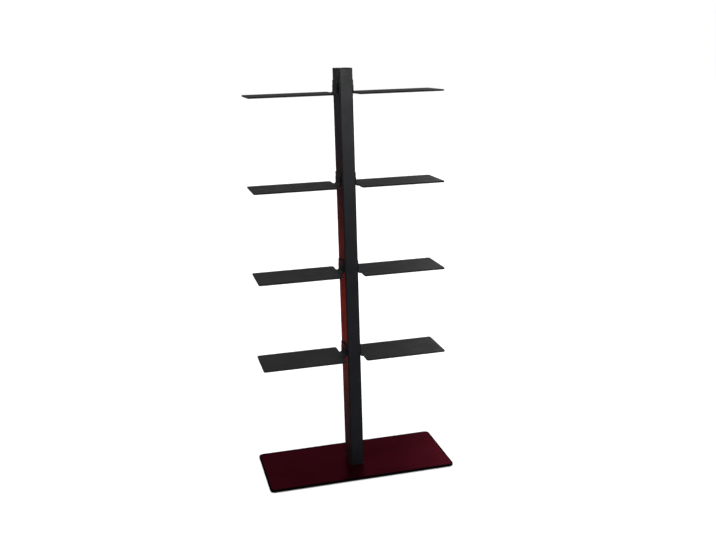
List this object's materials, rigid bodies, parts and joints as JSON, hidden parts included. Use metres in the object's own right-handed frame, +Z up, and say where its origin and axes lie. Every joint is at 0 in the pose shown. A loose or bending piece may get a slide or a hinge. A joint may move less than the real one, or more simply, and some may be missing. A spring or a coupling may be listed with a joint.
{
  "type": "spine bookshelf",
  "caption": "Free-standing spine bookshelf: a slim steel column on a flat foot plate, with thin hook-in shelves to both sides for stacks of books laid flat.",
  "frame": {"origin": "on the floor under the middle of the column, at the bottom centre of the bounding box", "axes": "+Z up along the column, +X along the foot plate's long side towards the right-hand shelves, +Y towards the back"},
  "size_m": [0.4, 0.175, 0.8465],
  "materials": {
    "base_lacquer": "dark maroon semi-gloss lacquer",
    "column_powder_coat": "charcoal powder coat, satin",
    "shelf_powder_coat": "black powder coat, satin",
    "cap_plastic": "moulded, matte",
    "block_steel": "sawn and drilled bar",
    "screw_steel": "black oxide",
    "pad_rubber": "die-cut, matte"
  },
  "bodies": {
    "frame": {"base_plate": "base_lacquer", "column_tube": "column_powder_coat", "column_cap": "cap_plastic", "foot_block": "block_steel", "base_screws": "screw_steel", "floor_pad_front_left": "pad_rubber", "floor_pad_front_right": "pad_rubber", "floor_pad_back_left": "pad_rubber", "floor_pad_back_right": "pad_rubber"},
    "shelf_left_1": {"shelf_left_1": "shelf_powder_coat"},
    "shelf_left_2": {"shelf_left_2": "shelf_powder_coat"},
    "shelf_left_3": {"shelf_left_3": "shelf_powder_coat"},
    "shelf_left_4": {"shelf_left_4": "shelf_powder_coat"},
    "shelf_right_1": {"shelf_right_1": "shelf_powder_coat"},
    "shelf_right_2": {"shelf_right_2": "shelf_powder_coat"},
    "shelf_right_3": {"shelf_right_3": "shelf_powder_coat"},
    "shelf_right_4": {"shelf_right_4": "shelf_powder_coat"}
  },
  "joints": [
    {"name": "shelf_left_1_lift", "type": "slide", "parent": "frame", "child": "shelf_left_1", "axis": [0, 0, 1], "range_m": [0, 0.0075]},
    {"name": "shelf_left_2_lift", "type": "slide", "parent": "frame", "child": "shelf_left_2", "axis": [0, 0, 1], "range_m": [0, 0.0075]},
    {"name": "shelf_left_3_lift", "type": "slide", "parent": "frame", "child": "shelf_left_3", "axis": [0, 0, 1], "range_m": [0, 0.0075]},
    {"name": "shelf_left_4_lift", "type": "slide", "parent": "frame", "child": "shelf_left_4", "axis": [0, 0, 1], "range_m": [0, 0.0075]},
    {"name": "shelf_right_1_lift", "type": "slide", "parent": "frame", "child": "shelf_right_1", "axis": [0, 0, 1], "range_m": [0, 0.0075]},
    {"name": "shelf_right_2_lift", "type": "slide", "parent": "frame", "child": "shelf_right_2", "axis": [0, 0, 1], "range_m": [0, 0.0075]},
    {"name": "shelf_right_3_lift", "type": "slide", "parent": "frame", "child": "shelf_right_3", "axis": [0, 0, 1], "range_m": [0, 0.0075]},
    {"name": "shelf_right_4_lift", "type": "slide", "parent": "frame", "child": "shelf_right_4", "axis": [0, 0, 1], "range_m": [0, 0.0075]}
  ]
}
